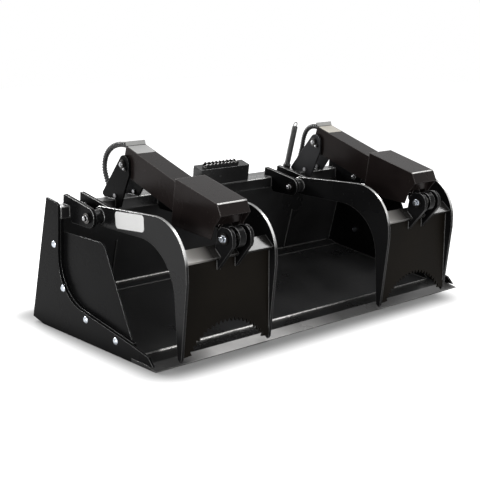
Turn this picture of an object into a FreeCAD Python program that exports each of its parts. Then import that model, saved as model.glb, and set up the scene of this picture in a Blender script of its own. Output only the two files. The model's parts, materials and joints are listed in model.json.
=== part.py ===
import FreeCAD, Part
import math
import os

# Grapple bucket for a skid steer loader, in millimetres.
# Lengths are laid out in a bench frame first: x across from the middle of the bucket,
# y backwards from the tip of the blade, z up from the ground.
# Each finished piece is then moved by one step, so that the origin is the middle of the
# part's footprint on the ground.

V = FreeCAD.Vector

# Overall size
BUCKET_WIDTH = 1829.0
SIDES = {"left": -1, "right": 1}

# Blade
BLADE_DEPTH = 155.0
BLADE_THICK = 16.0
BLADE_BEVEL = 62.0
BLADE_NOSE = 3.0

# Shell: floor that rises to the back, a shallow bend, then the leaning back sheet
SHEET = 8.0
FLOOR_REAR = (778.0, 93.0)
FLOOR_BEND = (840.0, 109.0)
HEEL = (900.0, 18.0)
HEEL_FRONT_Y = 815.0
SIDE_TOP_REAR = (748.0, 567.0)
LIP_TOP = 538.0
LIP_HEIGHT = 50.0
LIP_FRONT = 650.0
LIP_WALL = 6.0
BACK_LEAN = (HEEL[0] - SIDE_TOP_REAR[0]) / (SIDE_TOP_REAR[1] - HEEL[1])

# Side plates, fillers and inset panels
SIDE_PLATE = 10.0
SIDE_FILLER = 15.0
SIDE_PANEL = 6.0
SIDE_NOSE = 48.0
SIDE_BAND_FRONT = (156.0, 69.0)
SIDE_BAND_CORNER = (684.0, 157.0)
SIDE_BAND_TOP = (655.0, 546.0)
SIDE_TOP_STEP = (671.0, 556.0)
SIDE_CURVE = 190.0
FILLER_SHOW = 5.0
PANEL_TOP = 432.0
PANEL_FRONT_TOP = 366.0
PANEL_FRONT_LEAN = 0.503
PANEL_CORNER = 48.0
SIDE_BOLTS = [(701.0, 374.0), (642.0, 195.0), (475.0, 97.0), (263.0, 59.0)]
SIDE_BOLT_R = 8.0
SIDE_BOLT_HEAD_R = 15.0
SIDE_BOLT_HEAD = 8.0

# Grapple hinges on the lip
HINGE = (515.0, 506.0)
PIN_R = 16.0
PIN_FIT = 0.06
EAR_THICK = 16.0
EAR_R = 43.0
EAR_GAP = 66.0
EAR_TO_ARM = 44.0
EAR_BACK = (697.0, 583.0)
EAR_FOOT_Z = 469.0
PIN_HEAD_R = 22.0
PIN_HEAD = 9.0
PIN_TAIL = 8.0
PIN_BOLT_R = 11.0
PIN_BOLT = 12.0
SIDE_PLAY = 0.5

# Grapples
GRAPPLE_OFFSET = 569.5
GRAPPLE_WIDTH = 465.0
ARM_THICK = 12.7
ARM_END_R = 40.0
ARM_TOP = (142.0, 566.0)
ARM_FRONT_Y = -48.0
ARM_BEND_R = 190.0
ARM_INNER_TOP_Z = 463.0
ARM_INNER_FRONT = (26.0, 290.0)
ARM_INNER_R = 215.0
ARM_TIP = (-2.0, 13.0)
ARM_TIP_WIDTH = 14.0
HUB_R = 30.0

# Front plate and cross bar of each grapple
PLATE_FRONT_Y = -12.0
PLATE_THICK = 8.0
PLATE_FOOT_Z = 32.0
BAR_EDGE = (-36.0, 407.0)
BAR_WIDTH = 62.0
BAR_THICK = 14.0
BAR_TILT = 40.0
BITE_R = 230.0
BITE_CENTRE_Z = -82.0
BITE_TOOTH = 15.0
BITE_TEETH = 21

# Clevis for the rod end
CLEVIS_PIN = (-62.0, 482.0)
CLEVIS_R = 43.0
CLEVIS_THICK = 16.0
CLEVIS_GAP = 76.0
CLEVIS_FOOT_Z = 352.0
CLEVIS_REAR = 70.0

# Cylinders: pinned at the tower, at the clevis when closed
TOWER_PIN = (589.0, 695.0)
STROKE = 200.0
BORE_R = 32.0
BARREL_R = 38.0
BARREL_START = 40.0
BARREL_LENGTH = 350.0
BARREL_END_CAP = 18.0
GLAND_R = 41.0
GLAND_LENGTH = 22.0
GLAND_SPIGOT = 24.0
ROD_R = 17.0
ROD_FIT = 0.08
PISTON_LENGTH = 36.0
PISTON_FIT = 0.1
PISTON_SET_BACK = 14.0
BASE_EYE_R = 30.0
BASE_EYE_WIDTH = 64.0
ROD_EYE_R = 43.0
ROD_EYE_BORE = 33.0
ROD_EYE_WIDTH = 32.0
ROD_COLLAR_R = 26.0
ROD_COLLAR = 33.0
ROD_COLLAR_WELD = 4.0
SPACER_R = 20.0
PORT_AT = 34.0
PORT_R = 9.0

# Covers over the cylinders
COVER_SHEET = 4.0
UPPER_WIDTH = 100.0
UPPER_TOP = 75.0
UPPER_FOOT = -46.0
UPPER_REAR = -16.0
UPPER_FRONT = 386.0
UPPER_TAB = 20.0
LOWER_WIDTH = 150.0
LOWER_SIDE = [(360.0, 103.0), (623.0, 120.0), (657.0, 84.0), (635.0, 30.0), (631.0, -28.0),
              (390.0, -89.0)]
LOWER_BRACKET = 12.0
LOWER_BRACKET_FROM_EYE = 21.0

# Towers on the lip
TOWER_PLATE = 10.0
TOWER_PLAY = 5.0
TOWER_ROUND = 36.0
TOWER_REAR = (752.0, 553.0)
TOWER_FRONT_FOOT = (618.0, 508.0)
TOWER_SET_BACK = 32.0
TOWER_BOLTS = [(648.0, 554.0)]
TOWER_BOLT_R = 6.0
KEEPER = (-20.0, -17.0)
KEEPER_R = 4.0

# Step on the lip
STEP_MIDDLE = -12.5
STEP_WIDTH = 292.0
STEP_TAPER = 10.0
STEP_RISE = 76.0
STEP_CREST = (706.0, 93.0)
STEP_SHEET = 6.0
TREAD_LENGTH = 196.0
TREAD_DEPTH = 28.0
TREAD_RISE = 24.0
TREAD_SHEET = 4.0
TREAD_TOOTH = 8.0
TREAD_TEETH = 9
TREAD_MIDDLE = -28.0
TREAD_FROM_FRONT = 8.0

# Quick attach on the back
ATTACH_WIDTH = 1130.0
ATTACH_PLATE = 12.0
ATTACH_FOOT_Z = 62.0
ATTACH_TOP_Z = 500.0
ATTACH_WINDOW = (170.0, 150.0)
HOOK_REACH = 74.0
HOOK_DROP = 46.0
HOOK_THICK = 10.0
HOOK_SPREAD = 22.0
FOOT_REACH = 62.0
FOOT_THICK = 12.0
LATCH_SPACING = 860.0
LATCH_SLOT_R = 15.0
LATCH_SLOT_LENGTH = 62.0
LATCH_TO_EDGE = 30.0

# Runners under the floor
RUNNER_THICK = 12.0
RUNNERS_X = [-565.0, -190.0, 190.0, 565.0]
RUNNER_FRONT = 175.0

# Hose guide spring, leaning as the back does
GUIDE_X = 490.0
GUIDE_R = 14.5
GUIDE_FOOT = (768.0, 548.0)
GUIDE_LENGTH = 222.0
GUIDE_RING_R = 11.5
GUIDE_WIRE_R = 2.6
GUIDE_SOCKET_R = 19.0
GUIDE_SOCKET = 22.0

# Hoses: one loop behind each tower, from the barrel's port to the top of the hook
HOSE_R = 9.5
HOSE_ROUTES = {
    "left": [(575.0, 747.0), (632.0, 765.6), (699.0, 766.0), (761.0, 748.0), (808.0, 711.0),
             (827.0, 662.0), (817.0, 613.0), (790.0, 568.0)],
    "right": [(575.0, 747.0), (612.0, 759.1), (650.0, 765.0), (686.0, 756.0), (714.0, 731.0),
              (729.0, 692.0), (739.0, 636.0), (764.0, 568.0)]}
HOSE_GAP = 0.3
ARC_SHARE = 0.45
BULKHEAD_R = 14.0
BULKHEAD_LENGTH = 20.0


def vector_from(plane, level, a, b):
    """A point of a flat outline: plane is the axis that the outline is square to."""
    if plane == "x":
        return V(level, a, b)
    if plane == "y":
        return V(a, level, b)
    return V(a, b, level)


def outline(plane, level, corners):
    """A closed wire through corners; a third value in a corner is its rounding radius."""
    count = len(corners)
    entries = []
    for i, corner in enumerate(corners):
        here = V(corner[0], corner[1], 0)
        radius = corner[2] if len(corner) > 2 else 0
        if not radius:
            entries.append((here, None, here))
            continue
        back = (V(*corners[i - 1][:2], 0) - here).normalize()
        ahead = (V(*corners[(i + 1) % count][:2], 0) - here).normalize()
        half = back.getAngle(ahead) / 2
        reach = radius / math.tan(half)
        bisector = (back + ahead).normalize()
        middle = here + bisector * (radius / math.sin(half) - radius)
        entries.append((here + back * reach, middle, here + ahead * reach))
    edges = []
    for i, (start, middle, end) in enumerate(entries):
        points = [vector_from(plane, level, p.x, p.y) for p in (start, end)]
        if middle:
            top = vector_from(plane, level, middle.x, middle.y)
            edges.append(Part.Arc(points[0], top, points[1]).toShape())
        following = entries[(i + 1) % count][0]
        target = vector_from(plane, level, following.x, following.y)
        if points[1].distanceToPoint(target) > 1e-6:
            edges.append(Part.LineSegment(points[1], target).toShape())
    return Part.Wire(edges)


def plate(plane, level, thick, corners, holes=()):
    """A flat plate from level to level + thick; a hole is (a, b, radius)."""
    shift = vector_from(plane, thick, 0, 0)
    solid = Part.Face(outline(plane, level, corners)).extrude(shift)
    for a, b, radius in holes:
        start = vector_from(plane, level, a, b)
        solid = solid.cut(Part.makeCylinder(radius, thick, start, shift))
    return solid


def rod_x(y, z, radius, x_from, x_to):
    return Part.makeCylinder(radius, x_to - x_from, V(x_from, y, z), V(1, 0, 0))


def block(x_from, x_to, y_from, y_to, z_from, z_to):
    corner = V(x_from, y_from, z_from)
    return Part.makeBox(x_to - x_from, y_to - y_from, z_to - z_from, corner)


def fuse(shapes):
    return shapes[0].multiFuse(shapes[1:]).removeSplitter() if len(shapes) > 1 else shapes[0]


def sheet_corners(path, thick):
    """The outline of a sheet bent along path, its thickness laid to the right of the path."""
    points = [V(a, b, 0) for a, b in path]
    shifted = []
    for i, point in enumerate(points):
        sides = []
        for j in (i - 1, i):
            if 0 <= j < len(points) - 1:
                along = (points[j + 1] - points[j]).normalize()
                sides.append(V(along.y, -along.x, 0))
        middle = sum(sides, V()).normalize()
        shifted.append(point + middle * (thick / middle.dot(sides[0])))
    return [(p.x, p.y) for p in points] + [(p.x, p.y) for p in reversed(shifted)]


def rear_y(z):
    """The y of the rear edges of the side plates at a height."""
    return HEEL[0] - (z - HEEL[1]) * BACK_LEAN


def back_y(z):
    """The y of the inner face of the back sheet at a height."""
    return FLOOR_BEND[0] - (z - FLOOR_BEND[1]) * BACK_LEAN


def across_sheet(thick):
    """The horizontal width of a leaning sheet of that thickness."""
    return thick * math.hypot(1, BACK_LEAN)


def floor_z(y):
    slope = (FLOOR_REAR[1] - BLADE_THICK) / (FLOOR_REAR[0] - BLADE_DEPTH)
    return BLADE_THICK + (y - BLADE_DEPTH) * slope


def shell_path():
    top = (back_y(LIP_TOP), LIP_TOP)
    return [(BLADE_DEPTH, BLADE_THICK), FLOOR_REAR, FLOOR_BEND, top]


def inner_half():
    return BUCKET_WIDTH / 2 - SIDE_PLATE


def bucket_shell():
    """Floor and back sheet in one bent sheet, its top edge cut level with the lip."""
    half = inner_half()
    sheet = plate("x", -half, 2 * half, sheet_corners(shell_path(), SHEET))
    return sheet.cut(block(-half, half, 0, HEEL[0], LIP_TOP, LIP_TOP + SHEET))


def cutting_edge():
    half = BUCKET_WIDTH / 2
    corners = [(0, 0), (BLADE_DEPTH, 0), (BLADE_DEPTH, BLADE_THICK), (BLADE_BEVEL, BLADE_THICK),
               (0, BLADE_NOSE)]
    return plate("x", -half, 2 * half, corners)


def side_corners(show=0.0):
    """The side plate's outline; show lets a filler's inner edge stand in by that much."""
    return [(BLADE_THICK, BLADE_THICK), (SIDE_NOSE, SIDE_NOSE + show),
            (SIDE_BAND_FRONT[0], SIDE_BAND_FRONT[1] + show),
            (SIDE_BAND_CORNER[0] - show, SIDE_BAND_CORNER[1] + show, SIDE_CURVE),
            (SIDE_BAND_TOP[0] - show, SIDE_BAND_TOP[1]), SIDE_TOP_STEP, SIDE_TOP_REAR, HEEL,
            (HEEL_FRONT_Y, 0), (BLADE_DEPTH, 0), (BLADE_DEPTH, BLADE_THICK)]


def side_plate(side):
    half = BUCKET_WIDTH / 2
    level = -half if SIDES[side] < 0 else half - SIDE_PLATE
    bolts = [(y, z, SIDE_BOLT_R) for y, z in SIDE_BOLTS]
    return plate("x", level, SIDE_PLATE, side_corners(), bolts)


def inside_room(x_from, x_to):
    """The room above the floor, in front of the back sheet and under the lip."""
    ceiling = LIP_TOP - LIP_HEIGHT
    corners = shell_path()[:3] + [(back_y(ceiling), ceiling), (BLADE_DEPTH, ceiling)]
    return plate("x", x_from, x_to - x_from, corners)


def side_span(side, depth_from, depth_to):
    """An x range, from two depths inward from the outer face of a side plate."""
    half = BUCKET_WIDTH / 2
    ends = [SIDES[side] * (half - depth_from), SIDES[side] * (half - depth_to)]
    return min(ends), max(ends)


def side_filler(side):
    x_from, x_to = side_span(side, SIDE_PLATE, SIDE_PLATE + SIDE_FILLER)
    bolts = [(y, z, SIDE_BOLT_R) for y, z in SIDE_BOLTS]
    band = plate("x", x_from, SIDE_FILLER, side_corners(FILLER_SHOW), bolts)
    return band.common(inside_room(x_from, x_to))


def side_panel(side):
    outer = SIDE_PLATE + SIDE_FILLER
    x_from, x_to = side_span(side, outer, outer + SIDE_PANEL)
    foot_y = PANEL_FRONT_TOP - (PANEL_TOP - BLADE_THICK) * PANEL_FRONT_LEAN
    corners = [(foot_y, BLADE_THICK), (PANEL_FRONT_TOP, PANEL_TOP, PANEL_CORNER),
               (rear_y(PANEL_TOP), PANEL_TOP), (rear_y(BLADE_THICK), BLADE_THICK)]
    bolts = [(y, z, SIDE_BOLT_R) for y, z in SIDE_BOLTS]
    return plate("x", x_from, SIDE_PANEL, corners, bolts).common(inside_room(x_from, x_to))


def side_bolts():
    """Round heads outside, shanks through plate, filler and panel, nuts inside."""
    shapes = []
    stack = SIDE_PLATE + SIDE_FILLER + SIDE_PANEL
    for sign in SIDES.values():
        face = sign * BUCKET_WIDTH / 2
        for y, z in SIDE_BOLTS:
            inward = V(-sign, 0, 0)
            shank = Part.makeCylinder(SIDE_BOLT_R, stack + 12, V(face, y, z), inward)
            dome_r = (SIDE_BOLT_HEAD_R ** 2 + SIDE_BOLT_HEAD ** 2) / (2 * SIDE_BOLT_HEAD)
            centre = V(face - sign * (dome_r - SIDE_BOLT_HEAD), y, z)
            ball = Part.makeSphere(dome_r, centre)
            reach = Part.makeCylinder(dome_r, SIDE_BOLT_HEAD, V(face, y, z), inward * -1)
            nut = hexagon_x(y, z, 13, 12, face - sign * stack, -sign)
            shapes.append(fuse([shank, ball.common(reach), nut]))
    return Part.makeCompound(shapes)


def hexagon_x(y, z, across_r, thick, x_face, sign):
    """A hexagon head or nut that grows from x_face along x."""
    points = []
    for i in range(6):
        turn = math.radians(60 * i)
        points.append(V(x_face, y + across_r * math.cos(turn), z + across_r * math.sin(turn)))
    wire = Part.makePolygon(points + points[:1])
    return Part.Face(wire).extrude(V(sign * thick, 0, 0))


def lip_corners():
    low = LIP_TOP - LIP_HEIGHT
    return [(LIP_FRONT, LIP_TOP), (LIP_FRONT, low), (back_y(low), low), (back_y(LIP_TOP), LIP_TOP)]


def top_lip():
    half = inner_half()
    low, high = LIP_TOP - LIP_HEIGHT + LIP_WALL, LIP_TOP - LIP_WALL
    inner = [(LIP_FRONT + LIP_WALL, high), (LIP_FRONT + LIP_WALL, low),
             (back_y(low) - across_sheet(LIP_WALL), low),
             (back_y(high) - across_sheet(LIP_WALL), high)]
    tube = plate("x", -half, 2 * half, lip_corners())
    return tube.cut(plate("x", -half, 2 * half, inner))


def arm_faces():
    """The left face of each arm: two to a grapple."""
    faces = {}
    for side, sign in SIDES.items():
        middle = sign * GRAPPLE_OFFSET
        faces[side] = [middle - GRAPPLE_WIDTH / 2, middle + GRAPPLE_WIDTH / 2 - ARM_THICK]
    return faces


def hinge_spans():
    """The x range between each pair of ears."""
    faces = [x for pair in arm_faces().values() for x in pair]
    return [(x - EAR_TO_ARM, x - EAR_TO_ARM + EAR_GAP) for x in faces]


def hinge_ears():
    """Pairs of ears that stand on the lip's top and front face."""
    low = LIP_TOP - LIP_HEIGHT
    y, z = HINGE
    corners = [(EAR_BACK[0], EAR_BACK[1], 6), (y - EAR_R, z + EAR_R - 7, EAR_R * 0.92),
               (y - EAR_R, z - EAR_R + 1, EAR_R * 0.9), (LIP_FRONT - 12, EAR_FOOT_Z),
               (LIP_FRONT, low), (LIP_FRONT, LIP_TOP), (EAR_BACK[0] + 4, LIP_TOP)]
    shapes = []
    for gap_from, gap_to in hinge_spans():
        for x in (gap_from - EAR_THICK, gap_to):
            shapes.append(plate("x", x, EAR_THICK, corners, [(y, z, PIN_R)]))
    return Part.makeCompound(shapes)


def headed_pin(y, z, low, high):
    """A pin through ears from low to high: a head with a bolt in it, and a collar at its tail."""
    shaft = rod_x(y, z, PIN_R, low - PIN_HEAD, high + PIN_TAIL)
    head = rod_x(y, z, PIN_HEAD_R, low - PIN_HEAD, low)
    bolt = hexagon_x(y, z, PIN_BOLT_R, PIN_BOLT, low - PIN_HEAD, -1)
    return fuse([shaft, head, bolt, rod_x(y, z, PIN_HEAD_R, high, high + PIN_TAIL)])


def hinge_pins():
    shapes = []
    y, z = HINGE
    for gap_from, gap_to in hinge_spans():
        shapes.append(headed_pin(y, z, gap_from - EAR_THICK, gap_to + EAR_THICK))
    return Part.makeCompound(shapes)


def hinge_hubs(side):
    """Tubes welded through the arms; each turns on its pin between two ears."""
    y, z = HINGE
    shapes = []
    for x in arm_faces()[side]:
        low = x - EAR_TO_ARM + SIDE_PLAY
        high = x - EAR_TO_ARM + EAR_GAP - SIDE_PLAY
        tube = rod_x(y, z, HUB_R, low, high)
        shapes.append(tube.cut(rod_x(y, z, PIN_R + PIN_FIT, low, high)))
    return Part.makeCompound(shapes)


def arm(x):
    """A tapered claw: level from the hinge, round the bend, then down to the blade."""
    y, z = HINGE
    corners = [(y + ARM_END_R, z + ARM_END_R, ARM_END_R * 0.98),
               (ARM_FRONT_Y + 4, ARM_TOP[1] + 4, ARM_BEND_R),
               (ARM_FRONT_Y, 330),
               (ARM_TIP[0] - 9, ARM_TIP[1] + 12, 8),
               ARM_TIP,
               (ARM_TIP[0] + ARM_TIP_WIDTH, ARM_TIP[1] + 12),
               ARM_INNER_FRONT,
               (ARM_INNER_FRONT[0] + 6, ARM_INNER_TOP_Z - 3, ARM_INNER_R),
               (y + ARM_END_R, z - ARM_END_R, ARM_END_R * 0.98)]
    return plate("x", x, ARM_THICK, corners, [(y, z, HUB_R)])


def bar_frame():
    """Unit vectors along the cross bar's upper face and square to it, in y and z."""
    turn = math.radians(BAR_TILT)
    return (math.cos(turn), math.sin(turn)), (math.sin(turn), -math.cos(turn))


def bar_corners():
    along, down = bar_frame()
    y, z = BAR_EDGE
    far = (y + along[0] * BAR_WIDTH, z + along[1] * BAR_WIDTH)
    return [(y, z), far, (far[0] + down[0] * BAR_THICK, far[1] + down[1] * BAR_THICK),
            (y + down[0] * BAR_THICK, z + down[1] * BAR_THICK)]


def between_arms(side):
    first, second = arm_faces()[side]
    return first + ARM_THICK, second


def cross_bar(side):
    x_from, x_to = between_arms(side)
    return plate("x", x_from, x_to - x_from, bar_corners())


def plate_top_z():
    """Where the front plate's faces meet the underside of the bar."""
    under = bar_corners()[3]
    slope = math.tan(math.radians(BAR_TILT))
    return [under[1] + (y - under[0]) * slope for y in (PLATE_FRONT_Y, PLATE_FRONT_Y + PLATE_THICK)]


def bite_points(middle):
    """The toothed arch at the foot of a front plate, from its left foot to its right one."""
    drop = PLATE_FOOT_Z - BITE_CENTRE_Z
    start = math.degrees(math.asin(drop / BITE_R))
    pitch = (180 - 2 * start) / BITE_TEETH
    points = []
    for i in range(BITE_TEETH):
        for share, radius in ((0.08, BITE_R), (0.5, BITE_R - BITE_TOOTH), (0.92, BITE_R)):
            turn = math.radians(180 - start - pitch * (i + share))
            points.append((middle + radius * math.cos(turn), BITE_CENTRE_Z + radius * math.sin(turn)))
    return points


def grapple_plate(side):
    """The plate between two arms, with a toothed arch to grip logs and pipes."""
    x_from, x_to = between_arms(side)
    low_top, high_top = plate_top_z()
    arch = bite_points((x_from + x_to) / 2)
    edge = [(arch[0][0], PLATE_FOOT_Z)] + arch + [(arch[-1][0], PLATE_FOOT_Z)]
    corners = [(x_from, PLATE_FOOT_Z)] + edge + [(x_to, PLATE_FOOT_Z), (x_to, high_top),
                                                 (x_from, high_top)]
    sheet = plate("y", PLATE_FRONT_Y, PLATE_THICK, corners)
    bevel = plate("x", x_from, x_to - x_from,
                  [(PLATE_FRONT_Y, low_top), (PLATE_FRONT_Y + PLATE_THICK, high_top),
                   (PLATE_FRONT_Y, high_top)])
    return sheet.cut(bevel)


def clevis_spans(side):
    middle = SIDES[side] * GRAPPLE_OFFSET
    half = CLEVIS_GAP / 2
    return [middle - half - CLEVIS_THICK, middle + half]


def clevis_ears(side):
    """Two ears that straddle the bar's edge and reach down the front plate."""
    y, z = CLEVIS_PIN
    along, _ = bar_frame()
    seat = (BAR_EDGE[0] + along[0] * 44, BAR_EDGE[1] + along[1] * 44)
    corners = [(y - CLEVIS_R, z + CLEVIS_R, CLEVIS_R * 0.92), (y - CLEVIS_R, z - 26, 30),
               (PLATE_FRONT_Y - 7, CLEVIS_FOOT_Z + 5, 6), (PLATE_FRONT_Y, CLEVIS_FOOT_Z),
               (PLATE_FRONT_Y, plate_top_z()[0]), bar_corners()[3], BAR_EDGE, seat,
               (y + CLEVIS_R, z + CLEVIS_R, CLEVIS_R * 0.92)]
    shapes = []
    for x in clevis_spans(side):
        shapes.append(plate("x", x, CLEVIS_THICK, corners, [(y, z, PIN_R)]))
    return Part.makeCompound(shapes)


def clevis_pin(side):
    """The pin through the ears, the spacers and the rod eye."""
    y, z = CLEVIS_PIN
    first, second = clevis_spans(side)
    return headed_pin(y, z, first, second + CLEVIS_THICK)


def clevis_spacers(side):
    """Rings that centre the rod eye between the ears."""
    y, z = CLEVIS_PIN
    middle = SIDES[side] * GRAPPLE_OFFSET
    shapes = []
    for sign in (-1, 1):
        ends = [middle + sign * CLEVIS_GAP / 2, middle + sign * (ROD_EYE_WIDTH / 2 + SIDE_PLAY)]
        ring = rod_x(y, z, SPACER_R, min(ends), max(ends))
        shapes.append(ring.cut(rod_x(y, z, PIN_R, min(ends), max(ends))))
    return Part.makeCompound(shapes)


def cylinder_angle():
    return math.degrees(math.atan2(TOWER_PIN[1] - CLEVIS_PIN[1], TOWER_PIN[0] - CLEVIS_PIN[0]))


def pin_to_pin():
    return math.dist(TOWER_PIN, CLEVIS_PIN)


def lay_on_cylinder(shape, side):
    """Moves a piece made along -y from the tower pin onto the real cylinder's line."""
    placed = shape.copy()
    placed.rotate(V(0, 0, 0), V(1, 0, 0), cylinder_angle())
    placed.translate(V(SIDES[side] * GRAPPLE_OFFSET, *TOWER_PIN))
    return placed


def along_cylinder(radius, start, end):
    return Part.makeCylinder(radius, end - start, V(0, -start, 0), V(0, -1, 0))


def cylinder_barrel(side):
    """A tube with a welded end cap and the eye that turns on the tower pin."""
    end = BARREL_START + BARREL_LENGTH
    tube = along_cylinder(BARREL_R, BARREL_START - 12, end)
    hollow = along_cylinder(BORE_R, BARREL_START + BARREL_END_CAP, end)
    half = BASE_EYE_WIDTH / 2
    eye = rod_x(0, 0, BASE_EYE_R, -half, half)
    neck = block(-half, half, -BARREL_START, 0, -BASE_EYE_R * 0.8, BASE_EYE_R * 0.8)
    body = fuse([tube.cut(hollow), eye, neck]).cut(rod_x(0, 0, PIN_R + PIN_FIT, -half, half))
    port = Part.makeCylinder(PORT_R * 0.5, BARREL_R, V(0, -port_y(), 0), V(0, 0, 1))
    return lay_on_cylinder(body.cut(port), side)


def port_y():
    return BARREL_START + PORT_AT


def cylinder_gland(side):
    """The head that guides the rod, with a spigot in the bore."""
    end = BARREL_START + BARREL_LENGTH
    head = along_cylinder(GLAND_R, end, end + GLAND_LENGTH)
    spigot = along_cylinder(BORE_R, end - GLAND_SPIGOT, end)
    hole = along_cylinder(ROD_R + ROD_FIT, end - GLAND_SPIGOT, end + GLAND_LENGTH)
    return lay_on_cylinder(fuse([head, spigot]).cut(hole), side)


def piston_span():
    front = BARREL_START + BARREL_LENGTH - GLAND_SPIGOT - PISTON_SET_BACK
    return front - PISTON_LENGTH, front


def piston(side):
    start, end = piston_span()
    body = along_cylinder(BORE_R - PISTON_FIT, start, end)
    groove = along_cylinder(BORE_R, (start + end) / 2 - 4, (start + end) / 2 + 4)
    core = along_cylinder(BORE_R - 4, start, end)
    body = body.cut(groove.cut(core)).cut(along_cylinder(ROD_R * 0.7, start, end))
    return lay_on_cylinder(body, side)


def piston_rod(side):
    """A chromed rod: its reduced end holds the piston, its other end meets the rod eye."""
    start, end = piston_span()
    reach = pin_to_pin() - ROD_EYE_R
    return lay_on_cylinder(fuse([along_cylinder(ROD_R, end, reach),
                                 along_cylinder(ROD_R * 0.7, start, end)]), side)


def rod_eye(side):
    """The rod's end eye. Its bore is open: the linkage is opened at this pivot."""
    half = ROD_EYE_WIDTH / 2
    length = pin_to_pin()
    ring = rod_x(-length, 0, ROD_EYE_R, -half, half)
    collar = along_cylinder(ROD_COLLAR_R, length - ROD_EYE_R - ROD_COLLAR,
                            length - ROD_EYE_R + ROD_COLLAR_WELD)
    body = fuse([ring, collar]).cut(rod_x(-length, 0, ROD_EYE_BORE, -half, half))
    return lay_on_cylinder(body.cut(along_cylinder(ROD_R, 0, length - ROD_EYE_R)), side)


def port_elbow(side):
    """A hose fitting: a stub out of the barrel's port that turns back to the hose's end."""
    reach, top = hose_start_local()
    y = -port_y()
    stub = Part.makeCylinder(PORT_R, top - BARREL_R + 1, V(0, y, BARREL_R - 1), V(0, 0, 1))
    stub = stub.cut(along_cylinder(BARREL_R, 0, BARREL_START + BARREL_LENGTH))
    knee = Part.makeSphere(PORT_R, V(0, y, top))
    sleeve = Part.makeCylinder(PORT_R, reach - HOSE_GAP - y, V(0, y, top), V(0, 1, 0))
    return lay_on_cylinder(fuse([stub, knee, sleeve]), side)


def hose_start_local():
    """The hoses' first point in the cylinder's own frame."""
    turn = math.radians(cylinder_angle())
    y, z = [a - b for a, b in zip(HOSE_ROUTES["left"][0], TOWER_PIN)]
    return y * math.cos(turn) + z * math.sin(turn), z * math.cos(turn) - y * math.sin(turn)


def upper_cover(side):
    """A folded channel over the barrel, with a tab turned up at its rear end."""
    half = UPPER_WIDTH / 2
    rear, front = -UPPER_REAR, -UPPER_FRONT
    section = sheet_corners([(-half, UPPER_FOOT), (-half, UPPER_TOP), (half, UPPER_TOP),
                             (half, UPPER_FOOT)], COVER_SHEET)
    channel = plate("y", front, rear - front, section)
    tab_path = [(rear, UPPER_TOP), (rear + UPPER_TAB * 0.55, UPPER_TOP + UPPER_TAB * 0.8)]
    tab = plate("x", -half, UPPER_WIDTH, sheet_corners(tab_path, COVER_SHEET))
    corner = plate("x", -half - 1, UPPER_WIDTH + 2,
                   [(rear + 1, UPPER_FOOT - 1), (rear - 34, UPPER_FOOT - 1), (rear + 1, UPPER_FOOT + 34)])
    holes = rod_x(0, 0, PIN_R + PIN_FIT, -half, half)
    holders = []
    for sign in (-1, 1):
        ends = sorted([sign * BASE_EYE_WIDTH / 2, sign * (half - COVER_SHEET)])
        holders.append(rod_x(0, 0, PIN_R + 9, *ends))
    body = fuse([channel.cut(corner), tab] + holders)
    return lay_on_cylinder(body.cut(holes), side)


def lower_cover(side):
    """A wider folded hood that travels with the rod and slides over the upper cover."""
    half = LOWER_WIDTH / 2
    corners = [(-along, up) for along, up in LOWER_SIDE]
    rear_top, front_top, nose = corners[:3]
    foot = min(up for _, up in corners) - 20
    hood = plate("x", -half, LOWER_WIDTH, corners)
    inside = half - COVER_SHEET
    room = [(rear_top[0] + 1, rear_top[1] - COVER_SHEET), (front_top[0] + 2, front_top[1] - COVER_SHEET),
            (nose[0] + COVER_SHEET, nose[1]), (nose[0] - 20, nose[1] - 40), (nose[0] - 20, foot),
            (rear_top[0] + 60, foot), (rear_top[0] + 60, rear_top[1] - COVER_SHEET)]
    hood = hood.cut(plate("x", -inside, 2 * inside, room))
    front = pin_to_pin() - ROD_EYE_R - LOWER_BRACKET_FROM_EYE
    low, high = -front, -front + LOWER_BRACKET
    web = block(-inside, inside, low, high, ROD_COLLAR_R, 60)
    feet = []
    for sign in (-1, 1):
        ends = sorted([sign * (inside - COVER_SHEET), sign * inside])
        feet.append(block(*ends, low, high + 30, 2, 60))
    bore = along_cylinder(ROD_COLLAR_R, 0, front + LOWER_BRACKET)
    ring = along_cylinder(ROD_COLLAR_R + 7, front - LOWER_BRACKET, front).cut(bore)
    return lay_on_cylinder(fuse([hood, web.cut(bore), ring] + feet), side)


def tower_spans(side):
    middle = SIDES[side] * GRAPPLE_OFFSET
    half = UPPER_WIDTH / 2 + TOWER_PLAY
    return [middle - half - TOWER_PLATE, middle + half]


def tower_corners():
    """The outline of the left plate, which laps over the lip's front, and of the set back right one."""
    y, z = TOWER_PIN
    low = LIP_TOP - LIP_HEIGHT
    nose = (y - TOWER_ROUND - 4, z + TOWER_ROUND, TOWER_ROUND * 0.9)
    crown = (y + 7, z + TOWER_ROUND + 4, TOWER_ROUND * 0.7)
    rear, rear_z = TOWER_REAR
    lapped = [nose, (nose[0], z - 45), TOWER_FRONT_FOOT, (LIP_FRONT, low + 6), (LIP_FRONT, LIP_TOP),
              (rear - 18, LIP_TOP), (rear, rear_z, 8), crown]
    back = TOWER_SET_BACK
    set_back = [nose, (nose[0], z - 23), (LIP_FRONT, LIP_TOP), (rear + back - 18, LIP_TOP),
                (rear + back, rear_z, 8), (crown[0] + back * 0.6, crown[1], crown[2])]
    return lapped, set_back


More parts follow.
